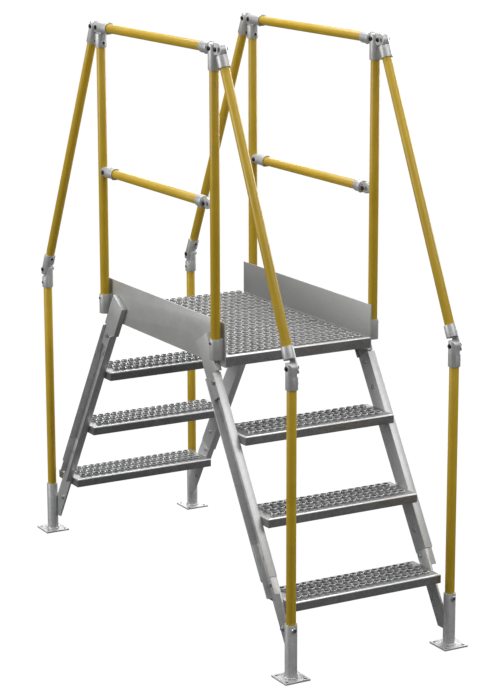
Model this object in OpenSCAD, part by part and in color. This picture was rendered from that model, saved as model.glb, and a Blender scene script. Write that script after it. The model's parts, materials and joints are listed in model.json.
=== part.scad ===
// Crossover ladder: two facing flights of steps that climb to one deck between
// guard rails. Units are millimetres. X runs across the ladder, Y along the
// crossing, Z up; the origin is on the floor under the middle of the deck.

/* [Deck] */
// Height of the walking surface above the floor
deck_z = 1004; // [960:1:1060]
// Length of the deck along the crossing
deck_l = 914; // [700:1:1200]
// Clear width of the deck between the side plates
deck_w = 585; // [500:1:800]
// Depth of a deck plank's edge
plank_h = 38; // [30:1:50]
// Gap between neighbouring planks
plank_gap = 1.5; // [1:0.1:4]
// Thickness of the folded plank and tread sheet
sheet_t = 3; // [2:0.5:5]
// Height of the side plate above the deck
kick_h = 116; // [90:1:160]
// Thickness of the side plate
kick_t = 4; // [3:0.5:6]
// Width of the side plate's bottom ledge under the planks
ledge_w = 28; // [15:1:50]

/* [Steps] */
// Height from one step to the next
rise = 250; // [220:1:260]
// Horizontal distance from one nosing to the next
run = 155; // [130:1:200]
// Distance from the deck's edge back to the line of the nosings
nose_back = 8; // [0:1:30]
// Depth of a tread from nosing to back edge
tread_d = 172; // [140:1:200]
// Depth of a tread's folded edge
tread_h = 32; // [25:1:45]

/* [Stringers] */
// Depth of the stringer channel, square to the slope
channel_d = 68; // [50:1:90]
// Width of the stringer's flanges
channel_w = 30; // [25:1:50]
// Thickness of the stringer's web and flanges
channel_t = 3; // [2:0.5:5]
// Distance from the nosing line down to the stringer, square to the slope
channel_drop = 48; // [30:1:70]
// Distance of the stringer's top end below the deck nosing, along the slope
channel_s0 = 39; // [30:1:60]
// Distance of the stringer's bottom end below the deck nosing, along the slope
channel_s1 = 774; // [700:1:800]
// Clearance between the side plate and the stringer's web
web_gap = 2.5; // [1:0.5:6]

/* [Brackets] */
// Width of the upper bracket's wide part on the side plate
bracket_w = 84; // [76:1:100]
// Distance from the side plate to the bracket's outer face
bracket_d = 21.5; // [16:0.5:24]
// Plate thickness of the brackets
bracket_t = 4; // [3:0.5:6]
// Reach of the upper bracket above the deck nosing, along the slope
bracket_up = 103; // [60:1:130]
// Length of the upper bracket's box inside the stringer
nest_l = 82; // [60:1:110]
// Length of the bracket's tongue below that box
tongue_l = 73; // [50:1:100]
// Clearance of a bracket inside the stringer channel
nest_gap = 0.3; // [0.2:0.1:1]
// Insertion of the foot bracket into the stringer's bottom end
foot_insert = 130; // [80:1:180]
// Height of the foot bracket's lower end above the floor
foot_bracket_z = 62; // [40:1:90]

/* [Guard rail] */
// Outside diameter of the rail tubes
tube_d = 33.4; // [26:0.1:42]
// Wall thickness of the rail tubes
tube_t = 3.4; // [2:0.1:4]
// Outside diameter of the sockets that hold the tubes
socket_d = 42.2; // [38:0.1:52]
// Radial clearance between a tube and its socket
socket_gap = 0.4; // [0.2:0.1:1]
// Height of the rail's axis above the deck
rail_z = 1050; // [900:1:1100]
// Height of the mid rail's axis above the deck
mid_z = 523; // [400:1:650]
// Distance from the deck's end to the post's axis
post_in = 28; // [24:1:60]
// Distance from the deck's end to the leg's axis
leg_out = 484; // [450:1:520]
// Height of the knuckle's pivot above the floor
knuckle_z = 1068; // [950:1:1150]
// Thickness of the narrow tongue in a pinned fitting
lap_t = 12; // [8:1:18]
// Clearance between the post's socket and the diagonal's tongue
lap_clear = 3.8; // [1:0.1:12]
// Clearance between the post and the mid rail's tongue
mid_clear = 5.2; // [1:0.1:12]
// Gap between the side plate and a post socket, filled by the weld block
guard_gap = 0.8; // [0.3:0.1:3]
// Width of the block that joins a post socket to the side plate
block_w = 34; // [20:1:40]
// Length of the post socket on the side plate
post_socket_l = 73; // [50:1:100]
// Height of the post socket's lower end relative to the deck
post_socket_z = -14; // [-30:1:0]

/* [Feet] */
// Side of the square base plate
base_w = 96; // [80:1:130]
// Thickness of the base plate
base_t = 6; // [4:0.5:10]
// Height of the foot tube's rim above the floor
foot_z = 193; // [150:1:260]
// Diameter of the anchor holes
anchor_d = 11; // [8:0.5:14]
// Distance between anchor holes
anchor_p = 70; // [60:1:100]
// Height of the weld collar on the base plate
weld_h = 5; // [3:0.5:8]

/* [Hidden] */
$fn = 48;
eps = 0.01;
tongue_r = socket_d / 2 - 1;

sides = ["left", "right"];
flights = ["front", "back"];
levels = ["top", "middle", "bottom"];

kick_x = deck_w / 2 + kick_t;
web_x = kick_x + web_gap;
tread_w = 2 * web_x;
guard_x = kick_x + socket_d / 2 + guard_gap;
post_y = deck_l / 2 - post_in;
leg_y = deck_l / 2 + leg_out;
nose_y = deck_l / 2 - nose_back;
slope_a = atan2(rise, run);
channel_n1 = -channel_drop;
channel_n0 = -channel_drop - channel_d;
channel_mid = (channel_n0 + channel_n1) / 2;
nest_n1 = channel_n1 - channel_t - nest_gap;
nest_n0 = channel_n0 + channel_t + nest_gap;
bore_d = tube_d + 2 * socket_gap;
socket_wall = 6;
socket_floor = 7;
knuckle_near = 30;
leg_far = 71;
diagonal_far = 72;
corner_near = 24;
corner_far = 66;
post_far = 73;
rail_far = 76;
mid_near = 28;
mid_far = 66;
saddle_h = 28;
saddle_w = 10;
lap_x = socket_d / 2 - lap_t;
lip_l = 60;
rail_axis = deck_z + rail_z;
top_pivot_y = post_y + socket_d / 2 + tongue_r + lap_clear;
mid_pivot_y = post_y - tube_d / 2 - tongue_r - mid_clear;
diagonal_l = norm([leg_y - top_pivot_y, rail_axis - knuckle_z]);
diagonal_a = atan2(leg_y - top_pivot_y, rail_axis - knuckle_z);

zinc = [0.72, 0.73, 0.74];
dull_zinc = [0.45, 0.46, 0.47];
pale_zinc = [0.66, 0.67, 0.65];
safety_yellow = [0.83, 0.65, 0.17];

// Turns the axes to the front flight: X stays, Y climbs the slope from the deck
// nosing and Z stands square to it.
module on_flight() {
    translate([0, -nose_y, deck_z])
        rotate([slope_a, 0, 0])
            children();
}

// A plate on the flight's axes: s is measured down the slope, n square to it.
module slope_plate(x0, x1, s0, s1, n0, n1) {
    translate([x0, -s1, n0])
        cube([x1 - x0, s1 - s0, n1 - n0]);
}

// Puts a piece drawn for the front right corner at the named corner.
module at_corner(flight, side) {
    mirror([side == "left" ? 1 : 0, 0, 0])
        mirror([0, flight == "back" ? 1 : 0, 0])
            children();
}

// Puts a piece that is not symmetric at the named corner by turning it half round.
module turn_corner(flight, side) {
    rotate([0, 0, flight == "back" ? 180 : 0])
        translate([(side == "right" ? 1 : -1) * (flight == "back" ? -1 : 1) * guard_x, 0, 0])
            children();
}

// A folded sheet pan, open below: w across, d deep, h high, top at the origin.
module pan(w, d, h) {
    difference() {
        translate([-w / 2, 0, -h])
            cube([w, d, h]);
        translate([-w / 2 + sheet_t, sheet_t, -h - eps])
            cube([w - 2 * sheet_t, d - 2 * sheet_t, h - sheet_t + eps]);
    }
}

module plank(place) {
    plank_d = (deck_l - 2 * plank_gap) / 3;
    color(dull_zinc)
        translate([0, -deck_l / 2 + place * (plank_d + plank_gap), deck_z])
            pan(deck_w, plank_d, plank_h);
}

module tread(flight, step) {
    color(dull_zinc)
        rotate([0, 0, flight == "back" ? 180 : 0])
            translate([0, -nose_y - step * run, deck_z - step * rise])
                pan(tread_w, tread_d, tread_h);
}

// Side plate with its bottom ledge and the two post sockets welded outside.
module side_plate(side) {
    plate_z = deck_z - plank_h - sheet_t;
    socket_z = deck_z + post_socket_z;
    color(pale_zinc)
        mirror([side == "left" ? 1 : 0, 0, 0])
            difference() {
                union() {
                    translate([deck_w / 2, -deck_l / 2, plate_z])
                        cube([kick_t, deck_l, plank_h + sheet_t + kick_h]);
                    translate([kick_x - ledge_w, -deck_l / 2, plate_z])
                        cube([ledge_w, deck_l, sheet_t]);
                    for (y = [-post_y, post_y]) {
                        translate([guard_x, y, socket_z])
                            cylinder(d = socket_d, h = post_socket_l);
                        translate([kick_x - 1, y - block_w / 2, socket_z])
                            cube([guard_x - kick_x + 1, block_w, post_socket_l]);
                    }
                }
                for (y = [-post_y, post_y])
                    translate([guard_x, y, socket_z - eps])
                        cylinder(d = bore_d, h = post_socket_l + 2 * eps);
            }
}

// Channel that opens outwards.
module stringer() {
    color(zinc)
        on_flight()
            difference() {
                slope_plate(web_x, web_x + channel_w, channel_s0, channel_s1, channel_n0, channel_n1);
                slope_plate(web_x + channel_t, web_x + channel_w + 1, channel_s0 - 1, channel_s1 + 1,
                    channel_n0 + channel_t, channel_n1 - channel_t);
            }
}

// Bracket from the side plate down into the stringer, ending in a round tongue.
module upper_bracket() {
    wide_n1 = channel_mid + bracket_w / 2;
    wide_n0 = channel_mid - bracket_w / 2;
    face_x = kick_x + bracket_d;
    inner_x = web_x + channel_t;
    wide_s1 = channel_s0 - 2;
    nest_s1 = channel_s0 + nest_l;
    tongue_r = (nest_n1 - nest_n0) / 2;
    tongue_s = nest_s1 + tongue_l - tongue_r;
    color(zinc)
        difference() {
            on_flight() {
                difference() {
                    slope_plate(kick_x, face_x, -bracket_up, wide_s1, wide_n0, wide_n1);
                    slope_plate(kick_x - 1, face_x - bracket_t, bracket_t - bracket_up, wide_s1 + 1,
                        wide_n0 + bracket_t, wide_n1 - bracket_t);
                }
                difference() {
                    slope_plate(inner_x, face_x, wide_s1 - 30, nest_s1, nest_n0, nest_n1);
                    slope_plate(inner_x + bracket_t, face_x - bracket_t, wide_s1 - 31, nest_s1 + 1,
                        nest_n0 + bracket_t, nest_n1 - bracket_t);
                }
                slope_plate(inner_x, inner_x + bracket_t, nest_s1 - 2, tongue_s, nest_n0, nest_n1);
                translate([inner_x, -tongue_s, channel_mid])
                    rotate([0, 90, 0])
                        cylinder(r = tongue_r, h = bracket_t);
            }
            translate([guard_x, -post_y, deck_z + post_socket_z - nest_gap])
                cylinder(d = socket_d + 2 * nest_gap, h = post_socket_l + 2 * nest_gap);
            translate([kick_x - 1, -post_y - block_w / 2 - nest_gap, deck_z + post_socket_z - nest_gap])
                cube([guard_x - kick_x + 1, block_w + 2 * nest_gap, post_socket_l + 2 * nest_gap]);
        }
}

// Bracket in the stringer's bottom end, with a pad that carries the lowest tread.
module foot_bracket() {
    plate_x = web_x + channel_t;
    lip_x = web_x + channel_w - channel_t;
    s0 = channel_s1 - foot_insert;
    s1 = channel_s1 + 400;
    intersection() {
        on_flight() {
            slope_plate(plate_x, plate_x + bracket_t, s0, s1, nest_n0, nest_n1);
            slope_plate(web_x, plate_x + 1, channel_s1 + nest_gap, s1, nest_n0, nest_n1);
            slope_plate(plate_x, lip_x, s0, channel_s1 + lip_l, nest_n0, nest_n0 + bracket_t);
            slope_plate(plate_x, lip_x, s0, channel_s1 + lip_l, nest_n1 - bracket_t, nest_n1);
        }
        translate([0, -leg_y, foot_bracket_z])
            cube([deck_w, leg_y, deck_z]);
    }
}

// Base plate, foot tube and weld collar with the foot bracket.
module foot() {
    color(zinc)
        difference() {
            union() {
                translate([guard_x - base_w / 2, -leg_y - base_w / 2, 0])
                    cube([base_w, base_w, base_t]);
                translate([guard_x, -leg_y, 0])
                    cylinder(d = socket_d, h = foot_z);
                translate([guard_x, -leg_y, base_t - 1])
                    cylinder(d1 = socket_d + 2 * weld_h, d2 = socket_d, h = weld_h);
                foot_bracket();
            }
            translate([guard_x, -leg_y, base_t])
                cylinder(d = bore_d, h = foot_z);
            for (dx = [-1, 1], dy = [-1, 1])
                translate([guard_x + dx * anchor_p / 2, -leg_y + dy * anchor_p / 2, -1])
                    cylinder(d = anchor_d, h = base_t + 2);
        }
}

// A length of rail tube standing on the origin.
module tube(length) {
    difference() {
        cylinder(d = tube_d, h = length);
        translate([0, 0, -eps])
            cylinder(d = tube_d - 2 * tube_t, h = length + 2 * eps);
    }
}

// A socket with a tongue that is pinned along the X axis at the origin. The
// tongue spans x0 to x1, and the socket's mouth is at -Z.
module lap_socket(near, far, x0, x1) {
    reach = socket_d / 2;
    difference() {
        intersection() {
            translate([0, 0, -far])
                cylinder(d = socket_d, h = far + reach);
            translate([-reach - 1, 0, 0])
                rotate([90, 0, 90])
                    linear_extrude(2 * reach + 2) {
                        circle(r = tongue_r);
                        translate([-tongue_r, -near - 1])
                            square([2 * tongue_r, near + 1]);
                        translate([-reach - 1, -far - 1])
                            square([2 * reach + 2, far - near + 1]);
                    }
        }
        translate([-reach - 2, -reach - 1, -near])
            cube([x0 + reach + 2, 2 * reach + 2, near + reach + 1]);
        translate([x1, -reach - 1, -near])
            cube([reach + 2 - x1, 2 * reach + 2, near + reach + 1]);
        translate([0, 0, -far - 1])
            cylinder(d = bore_d, h = far - near - socket_wall + 1);
    }
}

// The wide tongue, on the -X side.
module wide_lap(near, far) {
    lap_socket(near, far, -socket_d / 2 - 1, lap_x - nest_gap / 2);
}

// The narrow tongue that turns against it, on the +X side.
module narrow_lap(near, far) {
    lap_socket(near, far, lap_x + nest_gap / 2, socket_d / 2 + 1);
}

module leg(flight, side) {
    leg_z = base_t + 20;
    color(safety_yellow)
        turn_corner(flight, side)
            translate([0, -leg_y, leg_z])
                tube(knuckle_z - knuckle_near - socket_floor - leg_z);
}

module post(flight, side) {
    post_z = deck_z + post_socket_z + 2;
    color(safety_yellow)
        turn_corner(flight, side)
            translate([0, -post_y, post_z])
                tube(rail_axis - corner_near - socket_floor - post_z);
}

module diagonal(flight, side) {
    low = knuckle_near + socket_floor;
    high = corner_near + socket_floor;
    color(safety_yellow)
        turn_corner(flight, side)
            translate([0, -leg_y, knuckle_z])
                rotate([-diagonal_a, 0, 0])
                    translate([0, 0, low])
                        tube(diagonal_l - low - high);
}

module knuckle(flight, side) {
    color(pale_zinc)
        turn_corner(flight, side)
            translate([0, -leg_y, knuckle_z]) {
                wide_lap(knuckle_near, leg_far);
                rotate([-diagonal_a, 0, 0])
                    mirror([0, 0, 1])
                        narrow_lap(knuckle_near, diagonal_far);
            }
}

// Post socket with pins for two more sockets, the top rail's and the diagonal's.
module corner(flight, side) {
    slab_x = -saddle_w;
    span = top_pivot_y - post_y;
    color(pale_zinc)
        turn_corner(flight, side)
            translate([0, -post_y, rail_axis]) {
                wide_lap(corner_near, post_far);
                translate([slab_x, 0, 0])
                    rotate([90, 0, 90])
                        linear_extrude(lap_x - nest_gap / 2 - slab_x) {
                            translate([-span, 0])
                                circle(r = tongue_r);
                            translate([-span, -tongue_r])
                                square([span, 2 * tongue_r]);
                        }
                rotate([90, 0, 0])
                    narrow_lap(corner_near, rail_far);
                translate([0, -span, 0])
                    rotate([-diagonal_a, 0, 0])
                        narrow_lap(corner_near, corner_far);
            }
}

module top_rail(side) {
    reach = post_y - corner_near - socket_floor;
    color(safety_yellow)
        mirror([side == "left" ? 1 : 0, 0, 0])
            translate([guard_x, -reach, rail_axis])
                rotate([-90, 0, 0])
                    tube(2 * reach);
}

module mid_rail(side) {
    reach = mid_pivot_y - mid_near - socket_floor;
    color(safety_yellow)
        mirror([side == "left" ? 1 : 0, 0, 0])
            translate([guard_x, -reach, deck_z + mid_z])
                rotate([-90, 0, 0])
                    tube(2 * reach);
}

// Half-lap socket of the mid rail and the saddle lug that holds it to the post.
module mid_socket(flight, side) {
    color(pale_zinc)
        turn_corner(flight, side)
            translate([0, -mid_pivot_y, deck_z + mid_z]) {
                rotate([90, 0, 0])
                    narrow_lap(mid_near, mid_far);
                difference() {
                    union() {
                        translate([-saddle_w, 0, 0])
                            rotate([0, 90, 0])
                                cylinder(r = tongue_r, h = saddle_w + lap_x - nest_gap / 2);
                        translate([-saddle_w, -post_y + mid_pivot_y, -saddle_h / 2])
                            cube([saddle_w + lap_x - nest_gap / 2, post_y - mid_pivot_y, saddle_h]);
                    }
                    translate([0, -post_y + mid_pivot_y, -tongue_r - 1])
                        cylinder(d = tube_d + nest_gap, h = 2 * tongue_r + 2);
                }
            }
}

planks = ["front", "middle", "back"];
for (i = [0:2])
    plank(i);
for (side = sides)
    side_plate(side);
for (flight = flights, i = [0:2])
    tread(flight, i + 1);
for (flight = flights, side = sides) {
    corner_name = str(flight, "_", side);
    at_corner(flight, side) stringer();
    at_corner(flight, side) upper_bracket();
    at_corner(flight, side) foot();
    knuckle(flight, side);
    corner(flight, side);
    leg(flight, side);
    post(flight, side);
    diagonal(flight, side);
    mid_socket(flight, side);
}
for (side = sides) {
    top_rail(side);
    mid_rail(side);
}
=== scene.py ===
import json
import math

import bmesh
import bpy
from mathutils import Matrix, Vector


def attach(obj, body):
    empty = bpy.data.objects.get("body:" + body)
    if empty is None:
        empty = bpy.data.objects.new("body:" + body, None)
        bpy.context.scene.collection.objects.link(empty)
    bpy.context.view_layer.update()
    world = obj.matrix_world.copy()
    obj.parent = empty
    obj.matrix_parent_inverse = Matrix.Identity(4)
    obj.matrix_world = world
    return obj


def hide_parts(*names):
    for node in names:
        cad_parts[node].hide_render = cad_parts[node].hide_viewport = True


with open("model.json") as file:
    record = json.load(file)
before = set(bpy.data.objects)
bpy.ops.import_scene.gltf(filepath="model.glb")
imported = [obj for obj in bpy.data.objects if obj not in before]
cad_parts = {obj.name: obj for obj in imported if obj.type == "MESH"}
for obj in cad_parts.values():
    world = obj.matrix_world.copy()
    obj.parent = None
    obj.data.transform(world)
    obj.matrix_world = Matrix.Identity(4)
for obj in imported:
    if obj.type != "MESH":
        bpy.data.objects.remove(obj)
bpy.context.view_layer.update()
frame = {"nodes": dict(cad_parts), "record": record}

# %% [markdown]
# The ladder is made of folded galvanised sheet, yellow pipe and cast pipe fittings. The solid
# model already gives every piece its place and size in metres. These numbers repeat the few
# sizes that the finer pieces below need, in millimetres, so that each can be read against
# a tape measure. A length is turned into metres by multiplying it by MM.

# %% Shared sizes in millimetres
MM = 0.001
DECK_Z = 1004.0
DECK_L = 914.0
DECK_W = 585.0
PLANK_H = 38.0
PLANK_GAP = 1.5
TREAD_D = 172.0
TREAD_H = 32.0
RISE = 250.0
RUN = 155.0
NOSE_Y = 449.0
INNER_HALF = 293.5
WEB_X = 299.0
GUARD_X = 318.4
POST_Y = 429.0
LEG_Y = 941.0
KNUCKLE_Z = 1068.0
RAIL_Z = 2054.0
MID_Z = 1527.0
TOP_PIVOT_Y = 474.0
MID_PIVOT_Y = 387.0
BRACKET_X = 318.0
PLATE_FACE_X = 306.0
SOCKET_D = 42.2
SLOPE = math.atan2(RISE, RUN)
DIAGONAL = math.atan2(LEG_Y - TOP_PIVOT_Y, RAIL_Z - KNUCKLE_Z)
SIDES = {"left": -1, "right": 1}
FLIGHTS = {"front": -1, "back": 1}
print("slope", round(math.degrees(SLOPE), 1), "degrees, diagonal", round(math.degrees(DIAGONAL), 1))

# %% [markdown]
# Every mesh below ends in the same few steps: it is linked to the scene, told which body it
# moves with, which finish it takes and which solid it stands for. One helper does that, so no
# piece can be left behind. A sheet may list extra finishes for its chosen faces. Flat faces
# stay flat and round ones are smoothed by an angle.

# %% A helper that turns a mesh into a finished piece
def piece(name, mesh, material, stands_for=(), angle=35, extra=()):
    if mesh.materials:
        mesh.materials.clear()
    for finish in (material, *extra):
        mesh.materials.append(finish)
    mesh.shade_smooth()
    mesh.set_sharp_from_angle(angle=math.radians(angle))
    thing = bpy.data.objects.new(name, mesh)
    bpy.context.scene.collection.objects.link(thing)
    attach(thing, "root")
    if stands_for:
        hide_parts(*stands_for)
    return thing


def mesh_from(name, points, faces):
    mesh = bpy.data.meshes.new(name)
    mesh.from_pydata([Vector(p) * MM for p in points], [], faces)
    mesh.update()
    return mesh


# %% [markdown]
# The finishes come before the shapes. Several of them need the same effects: a mottled grain,
# the crystal spangle of zinc, a thin film of dust on faces that look up, edges made bright as
# rubbed wear and as a painted highlight, and a mask of what lies inside the side plates, which
# paints shade there. Each effect is a node group with its own inputs and outputs, so that it
# is built once and every finish sets its own amounts. The groups put out only values.

# %% Helpers for node groups
def new_group(name, inputs, outputs):
    group = bpy.data.node_groups.new(name, "ShaderNodeTree")
    for label, value in inputs:
        socket = group.interface.new_socket(label, in_out="INPUT", socket_type="NodeSocketFloat")
        socket.default_value = value
    for label in outputs:
        group.interface.new_socket(label, in_out="OUTPUT", socket_type="NodeSocketFloat")
    start = group.nodes.new("NodeGroupInput")
    end = group.nodes.new("NodeGroupOutput")
    return group, start, end


def add(tree, kind, **settings):
    node = tree.nodes.new(kind)
    for key, value in settings.items():
        setattr(node, key, value)
    return node


def arithmetic(tree, operation, a, b, clamp=False):
    node = add(tree, "ShaderNodeMath", operation=operation, use_clamp=clamp)
    for socket, value in zip(node.inputs, (a, b)):
        if isinstance(value, (int, float)):
            socket.default_value = value
        else:
            tree.links.new(value, socket)
    return node.outputs[0]


# %% The grain group: noise in three dimensions, centred on a half
def grain_group():
    group, start, end = new_group("grain", [("Scale", 60.0), ("Amount", 1.0)], ["Value"])
    where = add(group, "ShaderNodeTexCoord")
    noise = add(group, "ShaderNodeTexNoise")
    noise.inputs["Detail"].default_value = 4.0
    noise.inputs["Roughness"].default_value = 0.6
    group.links.new(where.outputs["Object"], noise.inputs["Vector"])
    group.links.new(start.outputs["Scale"], noise.inputs["Scale"])
    centred = arithmetic(group, "SUBTRACT", noise.outputs["Fac"], 0.5)
    scaled = arithmetic(group, "MULTIPLY", centred, start.outputs["Amount"])
    group.links.new(arithmetic(group, "ADD", scaled, 0.5), end.inputs["Value"])
    return group


# %% The spangle group: flat crystals of zinc, each a little lighter or darker
def spangle_group():
    group, start, end = new_group("spangle", [("Scale", 90.0), ("Amount", 1.0)], ["Value"])
    where = add(group, "ShaderNodeTexCoord")
    cells = add(group, "ShaderNodeTexVoronoi", feature="F1")
    cells.inputs["Randomness"].default_value = 1.0
    group.links.new(where.outputs["Object"], cells.inputs["Vector"])
    group.links.new(start.outputs["Scale"], cells.inputs["Scale"])
    parts = add(group, "ShaderNodeSeparateColor")
    group.links.new(cells.outputs["Color"], parts.inputs["Color"])
    centred = arithmetic(group, "SUBTRACT", parts.outputs["Red"], 0.5)
    scaled = arithmetic(group, "MULTIPLY", centred, start.outputs["Amount"])
    group.links.new(arithmetic(group, "ADD", scaled, 0.5), end.inputs["Value"])
    return group


# %% The dust group: a mask of faces that look up, broken by noise
def dust_group():
    group, start, end = new_group("dust", [("Amount", 0.3), ("Scale", 25.0)], ["Mask"])
    shape = add(group, "ShaderNodeNewGeometry")
    axes = add(group, "ShaderNodeSeparateXYZ")
    group.links.new(shape.outputs["Normal"], axes.inputs[0])
    upward = arithmetic(group, "POWER", arithmetic(group, "MAXIMUM", axes.outputs["Z"], 0.0), 2.0)
    where = add(group, "ShaderNodeTexCoord")
    noise = add(group, "ShaderNodeTexNoise")
    noise.inputs["Detail"].default_value = 5.0
    group.links.new(where.outputs["Object"], noise.inputs["Vector"])
    group.links.new(start.outputs["Scale"], noise.inputs["Scale"])
    patchy = arithmetic(group, "MULTIPLY", upward, noise.outputs["Fac"])
    group.links.new(arithmetic(group, "MULTIPLY", patchy, start.outputs["Amount"], True),
                    end.inputs["Mask"])
    return group


# %% The rubbed-edge and highlight group: sharp convex edges, from the mesh's pointiness, for wear and a painted highlight
def edge_group():
    group, start, end = new_group("rubbed_edge_and_highlight", [("Start", 0.52), ("Width", 0.06)], ["Mask"])
    shape = add(group, "ShaderNodeNewGeometry")
    above = arithmetic(group, "SUBTRACT", shape.outputs["Pointiness"], start.outputs["Start"])
    group.links.new(arithmetic(group, "DIVIDE", above, start.outputs["Width"], True),
                    end.inputs["Mask"])
    return group


# %% The inside group: a mask of what lies between the two side plates, for painted shade
def inside_group():
    group, start, end = new_group("inside", [("Half", 0.3)], ["Mask"])
    where = add(group, "ShaderNodeTexCoord")
    axes = add(group, "ShaderNodeSeparateXYZ")
    group.links.new(where.outputs["Object"], axes.inputs[0])
    across = arithmetic(group, "ABSOLUTE", axes.outputs["X"], 0.0)
    group.links.new(arithmetic(group, "LESS_THAN", across, start.outputs["Half"]),
                    end.inputs["Mask"])
    return group


GRAIN, SPANGLE, DUST = grain_group(), spangle_group(), dust_group()
EDGE, INSIDE = edge_group(), inside_group()
print("effects:", [g.name for g in (GRAIN, SPANGLE, DUST, EDGE, INSIDE)])


# %% Helpers that place a group and mix colours
def effect(tree, group, **values):
    node = add(tree, "ShaderNodeGroup", node_tree=group)
    for label, value in values.items():
        node.inputs[label].default_value = value
    return node.outputs[0]


def mix(tree, factor, a, b):
    node = add(tree, "ShaderNodeMix", data_type="RGBA")
    for socket, value in zip((node.inputs["Factor"], node.inputs["A"], node.inputs["B"]),
                             (factor, a, b)):
        if isinstance(value, (int, float)):
            socket.default_value = value
        elif isinstance(value, tuple):
            socket.default_value = (*value, 1.0)
        else:
            tree.links.new(value, socket)
    return node.outputs["Result"]


def new_material(name, metallic, specular=0.5):
    material = bpy.data.materials.new(name)
    material.use_nodes = True
    tree = material.node_tree
    shader = tree.nodes["Principled BSDF"]
    shader.inputs["Metallic"].default_value = metallic
    shader.inputs["Specular IOR Level"].default_value = specular
    return material, tree, shader


def bump(tree, shader, height, strength, distance):
    node = add(tree, "ShaderNodeBump")
    node.inputs["Strength"].default_value = strength
    node.inputs["Distance"].default_value = distance
    tree.links.new(height, node.inputs["Height"])
    tree.links.new(node.outputs["Normal"], shader.inputs["Normal"])


# %% [markdown]
# The pipes are powder coated in safety yellow. Powder coat is a thick, even, slightly
# orange-peeled plastic film, so the colour hardly changes but the surface has a very low,
# fine bump. A little dust lies on top and the mottling keeps a long pipe from looking flat.

# %% Safety yellow powder coat
def yellow_finish():
    material, tree, shader = new_material("safety_yellow_powder_coat", 0.0, 0.45)
    broad = effect(tree, GRAIN, Scale=9.0, Amount=1.6)
    coat = mix(tree, broad, (0.50, 0.325, 0.015), (0.62, 0.41, 0.024))
    dusty = effect(tree, DUST, Amount=0.35, Scale=30.0)
    tree.links.new(mix(tree, dusty, coat, (0.62, 0.52, 0.30)), shader.inputs["Base Color"])
    rough = arithmetic(tree, "ADD", arithmetic(tree, "MULTIPLY", broad, 0.16), 0.27)
    tree.links.new(rough, shader.inputs["Roughness"])
    bump(tree, shader, effect(tree, GRAIN, Scale=420.0, Amount=1.0), 0.10, 0.0006)
    return material


# %% [markdown]
# Galvanised sheet is steel under a skin of zinc. Fresh zinc shows flat crystals; a mill
# finish shows long faint rolling lines instead. The sheet finishes are one function with
# a light and a dark tone. The deck is painted paler and the treads darker, as painted light and
# shade on one sheet, and the frame is paler than the treads. Rims and folds take a painted
# highlight, walls and hanging sides painted shade, convex edges are bright as rubbed wear and
# as a painted highlight, and the side plates have painted shade on the inside.

# %% Galvanised sheet
def zinc_finish(name, dark, light, metallic, rough, spangle, edge, inner_shade=0.0):
    material, tree, shader = new_material(name, metallic)
    crystals = effect(tree, SPANGLE, Scale=130.0, Amount=spangle)
    clouds = effect(tree, GRAIN, Scale=14.0, Amount=1.2)
    tone = arithmetic(tree, "MULTIPLY", arithmetic(tree, "ADD", crystals, clouds), 0.5)
    zinc = mix(tree, tone, dark, light)
    # Convex edges lightened: partly rubbed wear, partly a painted highlight.
    rubbed_and_highlit = arithmetic(tree, "MULTIPLY", effect(tree, EDGE, Start=0.53, Width=0.08), edge)
    # Painted shade: faces between the side plates are darkened toward near black.
    inside = arithmetic(tree, "MULTIPLY", effect(tree, INSIDE, Half=INNER_HALF * MM), inner_shade)
    zinc = mix(tree, inside, zinc, (0.10, 0.10, 0.10))
    bright = mix(tree, rubbed_and_highlit, zinc, (0.80, 0.81, 0.82))
    dusty = effect(tree, DUST, Amount=0.25, Scale=40.0)
    tree.links.new(mix(tree, dusty, bright, (0.55, 0.53, 0.49)), shader.inputs["Base Color"])
    spread = arithmetic(tree, "ADD", arithmetic(tree, "MULTIPLY", clouds, 0.18), rough - 0.09)
    tree.links.new(spread, shader.inputs["Roughness"])
    bump(tree, shader, effect(tree, GRAIN, Scale=260.0, Amount=1.0), 0.06, 0.0005)
    return material


# %% [markdown]
# The pipe fittings are malleable iron castings, galvanised after casting. Sand casting
# leaves a fine pitted skin, so this finish has a stronger grain and bump than the sheet and
# no crystals. The screws are black oxide steel, dark and only slightly shiny.

# %% Cast fittings, screws and plated bolts
def cast_finish():
    material, tree, shader = new_material("galvanised_casting", 0.55)
    fine = effect(tree, GRAIN, Scale=240.0, Amount=1.4)
    broad = effect(tree, GRAIN, Scale=35.0, Amount=1.4)
    tone = arithmetic(tree, "MULTIPLY", arithmetic(tree, "ADD", fine, broad), 0.5)
    cast = mix(tree, tone, (0.42, 0.425, 0.425), (0.68, 0.685, 0.68))
    # Convex edges lightened: partly rubbed wear, partly a painted highlight.
    rubbed_and_highlit = arithmetic(tree, "MULTIPLY", effect(tree, EDGE, Start=0.53, Width=0.08), 0.5)
    tree.links.new(mix(tree, rubbed_and_highlit, cast, (0.75, 0.76, 0.78)), shader.inputs["Base Color"])
    spread = arithmetic(tree, "ADD", arithmetic(tree, "MULTIPLY", broad, 0.2), 0.38)
    tree.links.new(spread, shader.inputs["Roughness"])
    bump(tree, shader, fine, 0.35, 0.0007)
    return material


def screw_finish(name, dark, light, metallic, rough):
    material, tree, shader = new_material(name, metallic)
    fine = effect(tree, GRAIN, Scale=300.0, Amount=1.2)
    tree.links.new(mix(tree, fine, dark, light), shader.inputs["Base Color"])
    spread = arithmetic(tree, "ADD", arithmetic(tree, "MULTIPLY", fine, 0.15), rough)
    tree.links.new(spread, shader.inputs["Roughness"])
    return material


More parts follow.
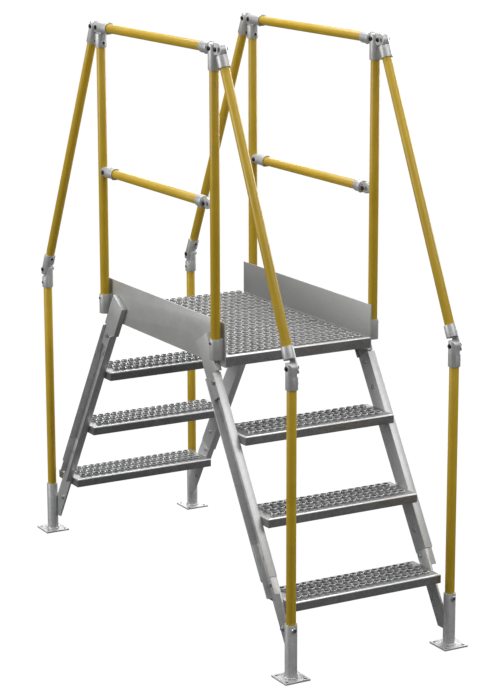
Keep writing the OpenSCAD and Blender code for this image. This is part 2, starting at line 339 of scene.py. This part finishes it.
YELLOW = yellow_finish()
# The deck sheet is painted lighter and the tread sheet darker: painted light and shade on one punched
# sheet.
PLANK = zinc_finish("deck_sheet_painted_lighter", (0.40, 0.40, 0.385), (0.56, 0.56, 0.545),
                    metallic=0.85, rough=0.40, spangle=0.6, edge=0.6)
TREAD = zinc_finish("tread_sheet_painted_darker", (0.25, 0.255, 0.26), (0.38, 0.385, 0.385),
                    metallic=0.85, rough=0.42, spangle=0.6, edge=0.6)
# Painted highlight: a bright sheet for collar and button rims, bends and plank seams.
HIGHLIGHT_SHEET = zinc_finish("painted_highlight_sheet", (0.80, 0.80, 0.80), (0.92, 0.92, 0.92),
                     metallic=0.75, rough=0.36, spangle=0.2, edge=0.0)
# Painted shade: a dark sheet for collar walls, hole walls and hanging sides.
SHADE_SHEET = zinc_finish("painted_shade_sheet", (0.20, 0.205, 0.21), (0.34, 0.345, 0.35),
                    metallic=0.7, rough=0.40, spangle=0.9, edge=0.0)
FRAME = zinc_finish("galvanised_frame_sheet", (0.52, 0.525, 0.525), (0.70, 0.705, 0.70),
                    metallic=0.62, rough=0.46, spangle=0.9, edge=0.5)
# The side plate's inner faces carry painted shade.
PALE = zinc_finish("galvanised_side_plate", (0.42, 0.425, 0.41), (0.54, 0.545, 0.53),
                   metallic=0.45, rough=0.5, spangle=0.5, edge=0.4, inner_shade=0.55)
CAST = cast_finish()
BLACK = screw_finish("black_oxide_screw", (0.008, 0.008, 0.009), (0.03, 0.03, 0.032), 0.4, 0.38)
PLATED = screw_finish("zinc_plated_bolt", (0.40, 0.41, 0.43), (0.62, 0.63, 0.65), 0.85, 0.28)
print("finishes:", [m.name for m in bpy.data.materials])

# %% [markdown]
# A folded plank is one sheet: a perforated top, a rounded bend all round, sides that hang
# down and a short return lip. The holes are punched upward, so each has a raised collar
# that grips a boot, and between the rows are small raised buttons with a drain hole.
# An array of one tile would repeat the same hole, but its edges have to meet the plain
# border. So the top is laid out as cells, each a ring of faces between a hole and a square.
# Faces on the rims and folds are noted for a painted highlight and faces on the walls and sides for
# painted shade.

# %% Sizes of the perforated sheet
HOLE_PITCH = 28.575
ROW_PITCH = 50.8
HOLE_COLUMNS = 19
SHEET_T = 2.5
BEND_R = 5.0
LIP = 12.0
RING = 16
# Slots for the painted highlight and the painted shade.
BRIGHT, SHADED = 1, 2
RIM_BANDS = (4, 5)
WALL_BANDS = (1, 2, 6, 7)
ARC_BANDS = 5
HALF_ROW = 17.0
COLLAR = [(13.9, 0.0), (13.2, 1.2), (12.3, 4.6), (11.5, 6.6), (10.8, 7.4), (10.0, 7.2), (9.5, 5.0)]
BUTTON = [(6.6, 0.0), (5.9, 1.4), (4.6, 3.6), (3.6, 4.4), (2.7, 4.2), (2.3, 3.0)]


# %% One cell: a rectangle with a raised ring and a hole through it
def rim_points(x0, x1, y0, y1):
    quarter = RING // 4
    steps = [i / quarter for i in range(quarter)]
    points = [(x1, y0 + (y1 - y0) * t) for t in steps]
    points += [(x1 + (x0 - x1) * t, y1) for t in steps]
    points += [(x0, y1 + (y0 - y1) * t) for t in steps]
    points += [(x0 + (x1 - x0) * t, y0) for t in steps]
    return points


def ring_cell(points, faces, bright, shaded, x0, x1, y0, y1, rings):
    cx, cy = (x0 + x1) / 2, (y0 + y1) / 2
    rim = rim_points(x0, x1, y0, y1)
    start = -math.pi / 4
    loops = [[(x, y, 0.0) for x, y in rim]]
    circle = [start + 2 * math.pi * i / RING for i in range(RING)]
    for r, z in rings:
        loops.append([(cx + r * math.cos(a), cy + r * math.sin(a), z) for a in circle])
    r = rings[-1][0]
    loops.append([(cx + r * math.cos(a), cy + r * math.sin(a), -SHEET_T) for a in circle])
    loops.append([(x, y, -SHEET_T) for x, y in rim])
    first = len(points)
    for loop in loops:
        points.extend(loop)
    for j in range(len(loops) - 1):
        for i in range(RING):
            a = first + j * RING + i
            b = first + j * RING + (i + 1) % RING
            # Rim bands take the painted highlight, wall bands the painted shade.
            if j in RIM_BANDS:
                bright.append(len(faces))
            elif j in WALL_BANDS:
                shaded.append(len(faces))
            faces.append((a, b, b + RING, a + RING))


def plain_cell(points, faces, x0, x1, y0, y1):
    first = len(points)
    corners = [(x0, y0), (x1, y0), (x1, y1), (x0, y1)]
    points.extend([(x, y, 0.0) for x, y in corners])
    points.extend([(x, y, -SHEET_T) for x, y in corners])
    faces.append((first, first + 1, first + 2, first + 3))
    faces.append((first + 7, first + 6, first + 5, first + 4))


# %% The folded border: rectangles one inside the other, joined by faces
def border(points, faces, bright, shaded, width, depth, height):
    arc = [(BEND_R - BEND_R * math.sin(a), BEND_R * math.cos(a) - BEND_R)
           for a in [math.radians(d) for d in range(0, 91, 90 // ARC_BANDS)]]
    lip_low = height - SHEET_T
    profile = arc + [(0.0, -height), (LIP, -height), (LIP, -lip_low), (SHEET_T, -lip_low),
                     (SHEET_T, -BEND_R), (BEND_R, -SHEET_T)]
    first = len(points)
    for inset, z in profile:
        x, y = width / 2 - inset, depth / 2 - inset
        points.extend([(-x, -y, z), (x, -y, z), (x, y, z), (-x, y, z)])
    for j in range(len(profile) - 1):
        for i in range(4):
            a = first + 4 * j + i
            b = first + 4 * j + (i + 1) % 4
            # The bend takes the painted highlight, the sides and lip the painted shade.
            if j < ARC_BANDS:
                bright.append(len(faces))
            else:
                shaded.append(len(faces))
            faces.append((a, a + 4, b + 4, b))


# %% A whole plank or tread, laid out about its own centre
def perforated_sheet(name, width, depth, height, rows):
    points, faces, bright, shaded = [], [], [], []
    x_end, y_end = width / 2 - BEND_R, depth / 2 - BEND_R
    half = HOLE_PITCH / 2
    xs = [(i - (HOLE_COLUMNS - 1) / 2) * HOLE_PITCH for i in range(HOLE_COLUMNS)]
    ys = [(j - (rows - 1) / 2) * ROW_PITCH for j in range(rows)]
    for y in ys:
        low, high = max(y - HALF_ROW, -y_end), min(y + HALF_ROW, y_end)
        for x in xs:
            ring_cell(points, faces, bright, shaded, x - half, x + half, low, high, COLLAR)
        for side in (-1, 1):
            edge = sorted((side * (xs[-1] + half), side * x_end))
            plain_cell(points, faces, edge[0], edge[1], low, high)
    for y, above in zip(ys, ys[1:]):
        low, high = y + HALF_ROW, above - HALF_ROW
        for x in xs:
            ring_cell(points, faces, bright, shaded, x - half, x + half, low, high, BUTTON)
        for side in (-1, 1):
            edge = sorted((side * (xs[-1] + half), side * x_end))
            plain_cell(points, faces, edge[0], edge[1], low, high)
    last = ys[-1] + HALF_ROW
    if last < y_end:
        plain_cell(points, faces, -x_end, x_end, last, y_end)
        plain_cell(points, faces, -x_end, x_end, -y_end, -last)
    border(points, faces, bright, shaded, width, depth, height)
    mesh = mesh_from(name, points, faces)
    for index, chosen in ((BRIGHT, bright), (SHADED, shaded)):
        for i in chosen:
            mesh.polygons[i].material_index = index
    return mesh


# %% [markdown]
# The deck has three planks and each flight three treads, all punched alike. One plank and
# one tread are made and then copied. A copy is moved into place by changing its points, so
# that every piece keeps its origin at the ladder's own origin.

# %% Planks and treads
def place(mesh, name, matrix):
    copy = mesh.copy()
    copy.name = name
    copy.transform(matrix)
    return copy


plank_d = (DECK_L - 2 * PLANK_GAP) / 3
plank = perforated_sheet("plank", DECK_W, plank_d, PLANK_H, 6)
for i, where in enumerate(("front", "middle", "back")):
    y = (i - 1) * (plank_d + PLANK_GAP)
    mesh = place(plank, "plank", Matrix.Translation(Vector((0, y, DECK_Z)) * MM))
    piece(f"perforated_plank_{where}", mesh, PLANK, [f"plank_{where}"],
          extra=[HIGHLIGHT_SHEET, SHADE_SHEET])
print("plank:", len(plank.polygons), "faces")

tread = perforated_sheet("tread", 2 * WEB_X, TREAD_D, TREAD_H, 3)
for flight, sign in FLIGHTS.items():
    for i, level in enumerate(("top", "middle", "bottom")):
        y = sign * (NOSE_Y + (i + 1) * RUN - TREAD_D / 2)
        z = DECK_Z - (i + 1) * RISE
        mesh = place(tread, "tread", Matrix.Translation(Vector((0, y, z)) * MM))
        piece(f"perforated_tread_{flight}_{level}", mesh, TREAD,
              [f"tread_{flight}_{level}"], extra=[HIGHLIGHT_SHEET, SHADE_SHEET])
print("tread:", len(tread.polygons), "faces")

# %% [markdown]
# The channels, brackets, side plates and feet are folded or cut plate with slightly broken
# edges. Their solids have razor-sharp ones, which never catch the light. A fresh copy of
# each is cleaned of flat triangles and given a small bevel. The castings get a wider one,
# because a sand mould rounds every corner. A bevel is chosen over a remesh, since it keeps
# the flats flat and adds few faces.

# %% Soften the edges of the solid pieces
def softened(node, width, segments, angle=30):
    source = frame["nodes"][node].data
    mesh = source.copy()
    mesh.name = node + "_soft"
    work = bmesh.new()
    work.from_mesh(mesh)
    bmesh.ops.remove_doubles(work, verts=work.verts, dist=0.00002)
    flat = math.radians(0.6)
    bmesh.ops.dissolve_limit(work, angle_limit=flat, verts=work.verts, edges=work.edges)
    work.to_mesh(mesh)
    work.free()
    holder = bpy.data.objects.new(node + "_work", mesh)
    bpy.context.scene.collection.objects.link(holder)
    modifier = holder.modifiers.new("broken_edges", "BEVEL")
    modifier.width = width * MM
    modifier.segments = segments
    modifier.limit_method = "ANGLE"
    modifier.angle_limit = math.radians(angle)
    modifier.use_clamp_overlap = True
    graph = bpy.context.evaluated_depsgraph_get()
    result = bpy.data.meshes.new_from_object(holder.evaluated_get(graph))
    bpy.data.objects.remove(holder)
    result.name = node + "_softened"
    return result


FINISH = {"yellow_paint": YELLOW, "frame_sheet": FRAME,
          "pale_sheet": PALE, "cast_fitting": CAST}
SOFTNESS = {"frame_sheet": (0.8, 2), "pale_sheet": (0.8, 2), "cast_fitting": (1.6, 3),
            "yellow_paint": (0.6, 2)}
slots = {s["node"]: s["material_slot"] for s in frame["record"]["subparts"]}
for node in sorted(frame["nodes"]):
    kind = slots[node]
    if kind == "deck_sheet":
        continue
    width, segments = SOFTNESS[kind]
    mesh = softened(node, width, segments)
    piece(node + "_finished", mesh, FINISH[kind], [node])
print("softened", sum(1 for k in slots.values() if k != "deck_sheet"), "pieces")

# %% [markdown]
# Bolts and set screws hold the ladder together. Only their ends show, so no shank is made:
# a hexagon head sits on a washer, and a button head sits flat. Each is turned from one
# outline of radius and height, with six sides for a hexagon and more for a round head.

# %% A turned shape along any axis
def turned(points, faces, outline, centre, axis, sides, twist=0.0):
    toward = Vector(axis).normalized()
    across = toward.orthogonal().normalized()
    up = toward.cross(across)
    first = len(points)
    for r, h in outline:
        for i in range(sides):
            a = twist + 2 * math.pi * i / sides
            spoke = across * math.cos(a) + up * math.sin(a)
            points.append(Vector(centre) + spoke * r + toward * h)
    for j in range(len(outline) - 1):
        for i in range(sides):
            a = first + j * sides + i
            b = first + j * sides + (i + 1) % sides
            faces.append((a, b, b + sides, a + sides))
    faces.append(tuple(range(first + sides - 1, first - 1, -1)))
    top = first + (len(outline) - 1) * sides
    faces.append(tuple(range(top, top + sides)))


HEX_HEAD = [(7.2, -0.2), (7.6, 0.6), (7.6, 5.4), (6.8, 6.2)]
WASHER = [(10.0, -0.2), (10.4, 0.3), (10.4, 1.2), (10.0, 1.6)]
BUTTON_HEAD = [(8.4, -0.3), (8.6, 0.6), (7.9, 2.6), (6.2, 4.2), (3.9, 4.9), (3.4, 4.9), (3.2, 2.6)]
SET_SCREW = [(4.9, -1.0), (4.9, 1.6), (4.3, 2.2), (2.6, 2.2), (2.5, 0.4)]
WELD_NUT = [(9.4, -3.0), (9.2, 3.6), (8.2, 5.0), (5.2, 5.2)]
BRACKET_BOLTS = [(BRACKET_X, 66.0, -82.0), (PLATE_FACE_X, 164.0, -82.0),
                 (PLATE_FACE_X, 700.0, -82.0), (PLATE_FACE_X, 790.0, -95.0),
                 (PLATE_FACE_X, 945.0, -95.0)]
BOSS = [(8.6, -3.5), (8.4, -0.8), (7.2, 0.6), (5.4, 1.0)]


def button_bolt(points, faces, centre, axis):
    turned(points, faces, BUTTON_HEAD, centre, axis, 20)


def hex_bolt(points, faces, centre, axis):
    turned(points, faces, WASHER, centre, axis, 24)
    seat = Vector(centre) + Vector(axis).normalized() * 1.6
    turned(points, faces, HEX_HEAD, seat, axis, 6, 0.3)


def set_screw(screws, bosses, centre, axis):
    turned(*bosses, BOSS, centre, axis, 24)
    seat = Vector(centre) + Vector(axis).normalized() * 0.6
    turned(*screws, SET_SCREW, seat, axis, 16)


# %% Where things are on a corner: the fittings turn half round, the plates mirror
def turned_corner(flight, side, x, y, z):
    """A point or direction of the front flight, x outward of the guard's plane."""
    sign = 1 if flight == "front" else -1
    return Vector((sign * x + SIDES[side] * GUARD_X, sign * y, z))


def turned_way(flight, x, y, z):
    sign = 1 if flight == "front" else -1
    return Vector((sign * x, sign * y, z))


def slope_point(flight, side, x, s, n):
    """A point on the flight: x from the middle, s down the slope, n square to it."""
    y = -NOSE_Y - s * math.cos(SLOPE) - n * math.sin(SLOPE)
    z = DECK_Z - s * math.sin(SLOPE) + n * math.cos(SLOPE)
    return Vector((SIDES[side] * x, y if flight == "front" else -y, z))


# %% [markdown]
# Each socket pinches its pipe with a set screw in a raised boss, and each pair of tongues
# is pinned by one bolt, shown as a head on each side. The screws are black. Every bracket
# has plated bolts, also with a head on each side. Most set screws are placed by their
# distance from a pivot.

# %% Screws, bosses and bolts
LEG_SCREW, LOW_SCREW, HIGH_SCREW = 52.0, 60.0, 50.0
POST_SCREW, RAIL_SCREW, MID_SCREW = 56.0, 54.0, 46.0
FOOT_SCREW_Z = 176.0
GUARD_SCREW_Z = DECK_Z + 44.0
NUT_TOP = 4.4
for flight in FLIGHTS:
    for side in SIDES:
        screws, bosses, plated = ([], []), ([], []), ([], [])
        r = SOCKET_D / 2 - 0.4
        pivots = [(-LEG_Y, KNUCKLE_Z), (-TOP_PIVOT_Y, RAIL_Z), (-POST_Y, RAIL_Z),
                  (-MID_PIVOT_Y, MID_Z)]
        for y, z in pivots:
            for way in (-1, 1):
                centre = turned_corner(flight, side, way * (r - 0.2), y, z)
                button_bolt(*screws, centre, turned_way(flight, way, 0, 0))
        along = Vector((0, math.sin(DIAGONAL), math.cos(DIAGONAL)))
        square = Vector((0, math.cos(DIAGONAL), -math.sin(DIAGONAL)))
        low = Vector((0, -LEG_Y, KNUCKLE_Z)) + along * LOW_SCREW + square * r
        high = Vector((0, -TOP_PIVOT_Y, RAIL_Z)) - along * HIGH_SCREW + square * r
        spots = [((r, -LEG_Y, KNUCKLE_Z - LEG_SCREW), (1, 0, 0)),
                 ((0, -POST_Y + r, RAIL_Z - POST_SCREW), (0, 1, 0)),
                 ((0, -POST_Y + RAIL_SCREW, RAIL_Z - r), (0, 0, -1)),
                 ((0, -MID_PIVOT_Y + MID_SCREW, MID_Z - r), (0, 0, -1)),
                 (low, square),
                 (high, square)]
        for centre, way in spots:
            set_screw(screws, bosses, turned_corner(flight, side, *centre), turned_way(flight, *way))
        outward = Vector((SIDES[side], 0, 0))
        post = Vector((SIDES[side] * (GUARD_X + r), FLIGHTS[flight] * POST_Y, GUARD_SCREW_Z))
        set_screw(screws, bosses, post, outward)
        foot = turned_corner(flight, side, 0, -LEG_Y - r, FOOT_SCREW_Z)
        way = turned_way(flight, 0, -1, 0)
        turned(*plated, WELD_NUT, foot, way, 20)
        turned(*screws, SET_SCREW, foot + way * NUT_TOP, way, 16)
        for x, s, n in BRACKET_BOLTS:
            hex_bolt(*plated, slope_point(flight, side, x, s, n), outward)
            button_bolt(*plated, slope_point(flight, side, WEB_X, s, n), -outward)
        corner = f"{flight}_{side}"
        piece(f"black_screws_{corner}", mesh_from("screws", *screws), BLACK)
        piece(f"screw_bosses_{corner}", mesh_from("bosses", *bosses), CAST)
        piece(f"plated_bolts_{corner}", mesh_from("bolts", *plated), PLATED)
print("screws and bolts on", len(FLIGHTS) * len(SIDES), "corners")

# %% [markdown]
# Where the foot tube is welded to its base plate, a rippled bead runs round the joint. It is
# a thin ring whose thickness rises and falls, as each puddle of weld set.

# %% Weld beads
def bead(points, faces, centre, radius, thick, ripples=30):
    around, section = 96, 8
    first = len(points)
    for i in range(around):
        a = 2 * math.pi * i / around
        swell = thick * (1 + 0.16 * math.sin(ripples * a))
        for j in range(section):
            b = 2 * math.pi * j / section
            r = radius + swell * math.cos(b)
            points.append((centre[0] + r * math.cos(a), centre[1] + r * math.sin(a),
                           centre[2] + swell * math.sin(b)))
    for i in range(around):
        for j in range(section):
            a = first + i * section
            b = first + (i + 1) % around * section
            faces.append((a + j, b + j, b + (j + 1) % section, a + (j + 1) % section))


for flight, sign in FLIGHTS.items():
    for side in SIDES:
        beads = ([], [])
        bead(*beads, (SIDES[side] * GUARD_X, sign * LEG_Y, 7.5), SOCKET_D / 2 + 2.6, 2.4)
        piece(f"weld_bead_{flight}_{side}", mesh_from("bead", *beads), FRAME)
print("weld beads done")

# %% [markdown]
# The ladder stands on a floor that looks white but throws little light back, so that faces
# which look down stay dark. The light is a studio one: a bright, broad lamp above, one on
# each side and a weak one in front. Two more are placed as reflector cards would be: the
# low one behind shines in the flat sheet, the high one in front in the upper flanges.

# %% Floor and backdrop
def floor_material():
    material = bpy.data.materials.new("pale_floor")
    material.use_nodes = True
    tree = material.node_tree
    shader = tree.nodes["Principled BSDF"]
    shader.inputs["Roughness"].default_value = 0.9
    shader.inputs["Base Color"].default_value = (0.08, 0.08, 0.08, 1.0)
    glow = add(tree, "ShaderNodeEmission")
    glow.inputs["Color"].default_value = (1.0, 1.0, 1.0, 1.0)
    glow.inputs["Strength"].default_value = 1.07
    rays = add(tree, "ShaderNodeLightPath")
    seen = arithmetic(tree, "MAXIMUM", rays.outputs["Is Camera Ray"],
                      rays.outputs["Is Transmission Ray"])
    both = add(tree, "ShaderNodeMixShader")
    tree.links.new(arithmetic(tree, "MULTIPLY", seen, 0.94), both.inputs[0])
    tree.links.new(shader.outputs[0], both.inputs[1])
    tree.links.new(glow.outputs[0], both.inputs[2])
    tree.links.new(both.outputs[0], tree.nodes["Material Output"].inputs["Surface"])
    return material


floor_mesh = mesh_from("floor", [(-40000, -40000, -0.5), (40000, -40000, -0.5),
                                 (40000, 40000, -0.5), (-40000, 40000, -0.5)], [(0, 1, 2, 3)])
floor_mesh.materials.append(floor_material())
floor = bpy.data.objects.new("floor", floor_mesh)
bpy.context.scene.collection.objects.link(floor)

# %% The world: white to the eye, softer as light
world = bpy.data.worlds.new("studio")
bpy.context.scene.world = world
world.use_nodes = True
tree = world.node_tree
backdrop = tree.nodes["Background"]
rays = add(tree, "ShaderNodeLightPath")
seen = arithmetic(tree, "MAXIMUM", rays.outputs["Is Camera Ray"], rays.outputs["Is Transmission Ray"])
tree.links.new(mix(tree, seen, (0.24, 0.24, 0.245), (1.0, 1.0, 1.0)), backdrop.inputs["Color"])


# %% Lamps
def lamp(name, where, target, size, power):
    data = bpy.data.lights.new(name, "AREA")
    data.shape = "SQUARE"
    data.size = size
    data.energy = power
    thing = bpy.data.objects.new(name, data)
    thing.location = where
    aim = Vector(target) - Vector(where)
    thing.rotation_euler = aim.to_track_quat("-Z", "Y").to_euler()
    thing.visible_camera = False
    bpy.context.scene.collection.objects.link(thing)


lamp("overhead", (0.3, 1.6, 6.0), (0, 0, 1.0), 4.0, 300)
lamp("right_side", (5.0, 1.5, 2.6), (0, 0, 1.0), 3.0, 190)
lamp("left_side", (-5.0, 1.5, 2.6), (0, 0, 1.0), 3.0, 150)
lamp("front_fill", (-2.5, -6.0, 2.5), (0, 0, 1.0), 3.0, 14)
lamp("back_card", (2.9, 5.6, 2.2), (0, 0, 1.0), 2.6, 66)
lamp("flight_card", (1.6, -4.3, 4.6), (0.0, -0.7, 0.6), 4.4, 135)

# %% [markdown]
# The camera stands well back, a little above the deck, so the ladder is drawn with almost
# parallel lines. Its focal length is long for its sensor, as for a catalogue picture.

# %% Camera
camera_data = bpy.data.cameras.new("camera")
camera_data.sensor_fit = "HORIZONTAL"
camera_data.sensor_width = 36.0
camera_data.lens = 164.81
camera_data.clip_end = 200.0
camera = bpy.data.objects.new("camera", camera_data)
turn = Matrix.Rotation(math.radians(-29.628), 4, "Z")
tilt = Matrix.Rotation(math.radians(90 - 13.411), 4, "X")
roll = Matrix.Rotation(math.radians(-0.08), 4, "Z")
camera.matrix_world = Matrix.Translation((-4.0049, -7.1602, 2.8527)) @ turn @ tilt @ roll
bpy.context.scene.collection.objects.link(camera)
bpy.context.scene.camera = camera
bpy.context.scene.view_settings.view_transform = "Standard"
